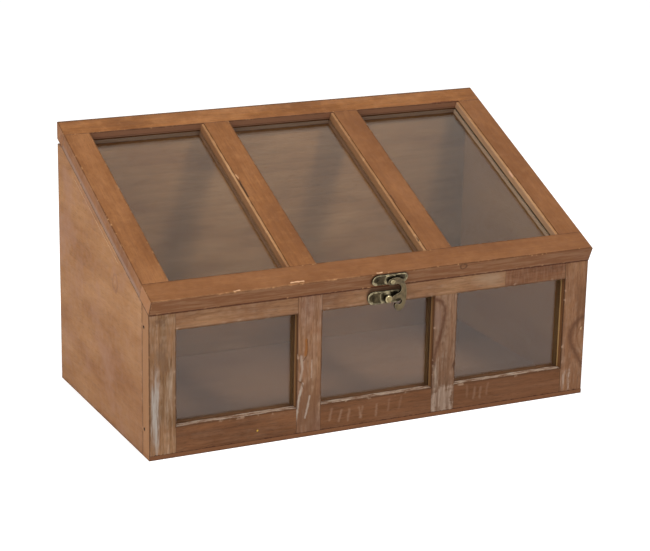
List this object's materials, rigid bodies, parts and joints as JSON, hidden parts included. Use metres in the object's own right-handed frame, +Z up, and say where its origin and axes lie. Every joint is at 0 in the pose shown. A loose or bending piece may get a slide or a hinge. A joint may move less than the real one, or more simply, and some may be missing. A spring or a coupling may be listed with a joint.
{
  "type": "mini greenhouse",
  "caption": "Low wooden box with a glazed front and a sloping glazed lid, hinged at the back and held by a swing-hook latch.",
  "frame": {"origin": "on the ground, at the middle of the outline left to right and front to back", "axes": "+X to the right seen from the front, the glazed front faces -Y, +Z up"},
  "size_m": [0.38, 0.2132, 0.217],
  "materials": {
    "panel_wood": "aged reddish-tan softwood, oiled and worn",
    "front_wood": "aged reddish-brown softwood with worn whitewash streaks",
    "lid_wood": "aged orange-brown softwood, oiled, soft sheen",
    "glass": "clear sheet glass, slightly dusty",
    "antique_brass": "antique bronzed brass, worn bright on its edges",
    "hinge_brass": "antique bronzed brass",
    "nail_steel": "dark tarnished steel"
  },
  "bodies": {
    "box": {"floor_panel": "panel_wood", "left_side_panel": "panel_wood", "right_side_panel": "panel_wood", "back_panel": "panel_wood", "front_left_stile": "front_wood", "front_right_stile": "front_wood", "front_left_muntin": "front_wood", "front_right_muntin": "front_wood", "front_bottom_rail": "front_wood", "front_top_rail_left": "front_wood", "front_top_rail_right": "front_wood", "front_left_pane": "glass", "front_centre_pane": "glass", "front_right_pane": "glass", "front_frame_nails": "nail_steel", "catch_plate": "antique_brass", "catch_screws": "antique_brass", "catch_stud": "antique_brass", "left_hinge_box_leaf": "hinge_brass", "right_hinge_box_leaf": "hinge_brass", "left_hinge_pin": "hinge_brass", "right_hinge_pin": "hinge_brass", "hinge_box_screws": "hinge_brass"},
    "lid": {"lid_front_rail": "lid_wood", "lid_back_rail": "lid_wood", "lid_left_stile": "lid_wood", "lid_right_stile": "lid_wood", "lid_left_muntin": "lid_wood", "lid_right_muntin": "lid_wood", "lid_left_pane": "glass", "lid_centre_pane": "glass", "lid_right_pane": "glass", "lid_left_bead": "lid_wood", "lid_centre_bead": "lid_wood", "lid_right_bead": "lid_wood", "latch_plate": "antique_brass", "latch_screws": "antique_brass", "latch_rivet": "antique_brass", "left_hinge_lid_leaf": "hinge_brass", "right_hinge_lid_leaf": "hinge_brass", "hinge_lid_screws": "hinge_brass"},
    "hook": {"latch_hook": "antique_brass"}
  },
  "joints": [
    {"name": "lid_hinge", "type": "hinge", "parent": "box", "child": "lid", "pos_m": [0, 0.10476, 0.20305], "axis": [-1, 0, 0], "range_deg": [0, 190]},
    {"name": "hook_pivot", "type": "hinge", "parent": "lid", "child": "hook", "pos_m": [0.0073, -0.10386, 0.11967], "axis": [0, -0.9143, -0.4051], "range_deg": [0, 240]}
  ]
}
